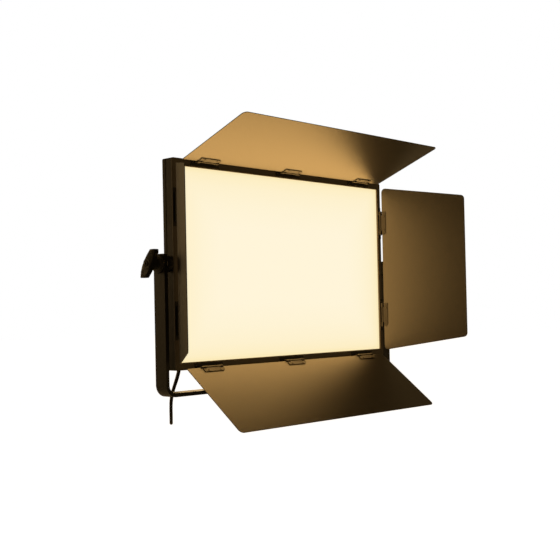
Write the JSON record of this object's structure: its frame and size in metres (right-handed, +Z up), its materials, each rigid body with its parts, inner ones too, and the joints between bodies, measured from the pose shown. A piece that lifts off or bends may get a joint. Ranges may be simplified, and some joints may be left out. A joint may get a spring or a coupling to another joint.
{
  "type": "led panel light",
  "caption": "Flat soft LED studio light with four folding barn doors, on a tilting yoke with a stand receiver and a power lead.",
  "frame": {"origin": "mouth of the stand receiver on its axis, under the middle of the yoke", "axes": "+Z up, the light faces -Y, +X to the right seen from in front of the light"},
  "size_m": [0.8659, 0.3418, 0.6167],
  "materials": {
    "frame_black": "satin powder coat",
    "frame_alloy": "satin black paint",
    "door_sheet": "fine textured matt black paint",
    "hinge_black": "satin black paint",
    "screw_black": "black oxide",
    "heat_sink": "black anodised",
    "steel": "zinc plated",
    "black_plastic": "glass-filled nylon, fine grain",
    "knob_plastic": "smooth",
    "grip_rubber": "soft touch",
    "cord_rubber": "matt rubber sheath",
    "tie_fabric": "woven hook and loop tape",
    "fascia": "matt",
    "display": "clear window over a dark display",
    "socket_metal": "satin nickel",
    "pin_metal": "nickel",
    "nylon": "natural nylon",
    "white_plastic": "white reflector",
    "led_board": "white solder mask",
    "diffuser": "opal acrylic, lit from behind",
    "led_chips": "phosphor"
  },
  "bodies": {
    "yoke": {"yoke_bar": "frame_black", "receiver": "frame_black", "receiver_bolt": "steel"},
    "stand_lock": {"lock_knob": "black_plastic", "lock_screw": "steel"},
    "tilt_lever": {"lever_disc": "black_plastic", "lever_handle": "black_plastic", "lever_bolt": "steel"},
    "tilt_knob": {"tension_knob": "black_plastic", "tension_bolt": "steel"},
    "head": {"rim": "frame_alloy", "bezel": "frame_alloy", "diffuser": "diffuser", "reflector": "white_plastic", "led_board": "led_board", "led_chips": "led_chips", "back_plate": "frame_alloy", "casing": "frame_alloy", "heat_sink": "heat_sink", "casing_screws": "steel", "control_panel": "fascia", "display": "display", "switch_bezel": "black_plastic", "data_sockets": "socket_metal", "handle": "grip_rubber", "handle_screws": "steel", "pivot_bosses": "frame_alloy", "friction_washers": "nylon", "hinge_brackets": "hinge_black", "hinge_pins": "hinge_black", "bracket_screws": "screw_black", "cord_hook": "hinge_black", "strain_relief": "cord_rubber", "power_cord": "cord_rubber", "cord_coil": "cord_rubber", "cord_tail": "cord_rubber", "cord_tie": "tie_fabric", "plug_body": "cord_rubber", "plug_pins": "pin_metal"},
    "dimmer": {"brightness_knob": "knob_plastic"},
    "tuner": {"colour_knob": "knob_plastic"},
    "minus_key": {"button_minus": "knob_plastic"},
    "plus_key": {"button_plus": "knob_plastic"},
    "menu_key": {"button_menu": "knob_plastic"},
    "power_switch": {"power_rocker": "knob_plastic"},
    "top_barn_door": {"top_door": "door_sheet", "top_leaves": "hinge_black", "top_rivets": "screw_black"},
    "bottom_barn_door": {"bottom_door": "door_sheet", "bottom_leaves": "hinge_black", "bottom_rivets": "screw_black"},
    "left_barn_door": {"left_door": "door_sheet", "left_leaves": "hinge_black", "left_rivets": "screw_black"},
    "right_barn_door": {"right_door": "door_sheet", "right_leaves": "hinge_black", "right_rivets": "screw_black"}
  },
  "joints": [
    {"name": "head_tilt", "type": "hinge", "parent": "yoke", "child": "head", "pos_m": [0, 0, 0.32], "axis": [-1, 0, 0], "range_deg": [-6, 90], "deforming": ["power_cord"]},
    {"name": "top_door_fold", "type": "hinge", "parent": "head", "child": "top_barn_door", "pos_m": [0, -0.026, 0.5325], "axis": [-1, 0, 0], "range_deg": [-111, 69]},
    {"name": "bottom_door_fold", "type": "hinge", "parent": "head", "child": "bottom_barn_door", "pos_m": [0, -0.026, 0.1075], "axis": [1, 0, 0], "range_deg": [-128, 52]},
    {"name": "left_door_fold", "type": "hinge", "parent": "head", "child": "left_barn_door", "pos_m": [-0.3385, -0.021, 0.32], "axis": [0, 0, -1], "range_deg": [-127, 23]},
    {"name": "right_door_fold", "type": "hinge", "parent": "head", "child": "right_barn_door", "pos_m": [0.3385, -0.021, 0.32], "axis": [0, 0, 1], "range_deg": [-105, 45]},
    {"name": "tilt_lever_turn", "type": "hinge", "parent": "yoke", "child": "tilt_lever", "pos_m": [-0.37, 0, 0.32], "axis": [-1, 0, 0], "range_deg": [-270, 30]},
    {"name": "tilt_knob_turn", "type": "hinge", "parent": "yoke", "child": "tilt_knob", "pos_m": [0.37, 0, 0.32], "axis": [1, 0, 0], "range_deg": [-360, 30]},
    {"name": "stand_lock_turn", "type": "hinge", "parent": "yoke", "child": "stand_lock", "pos_m": [0, 0.015, 0.018], "axis": [0, 1, 0], "range_deg": [-720, 30]},
    {"name": "dimmer_turn", "type": "hinge", "parent": "head", "child": "dimmer", "pos_m": [-0.264, 0.064, 0.41], "axis": [0, -1, 0], "continuous": true},
    {"name": "tuner_turn", "type": "hinge", "parent": "head", "child": "tuner", "pos_m": [-0.264, 0.064, 0.372], "axis": [0, -1, 0], "continuous": true},
    {"name": "minus_press", "type": "slide", "parent": "head", "child": "minus_key", "axis": [0, -1, 0], "range_m": [0, 0.0012], "stiffness_N_per_m": 400},
    {"name": "plus_press", "type": "slide", "parent": "head", "child": "plus_key", "axis": [0, -1, 0], "range_m": [0, 0.0012], "stiffness_N_per_m": 400},
    {"name": "menu_press", "type": "slide", "parent": "head", "child": "menu_key", "axis": [0, -1, 0], "range_m": [0, 0.0012], "stiffness_N_per_m": 400},
    {"name": "power_switch_rock", "type": "hinge", "parent": "head", "child": "power_switch", "pos_m": [-0.166, 0.0642, 0.342], "axis": [0, 0, -1], "range_deg": [0, 18]}
  ]
}
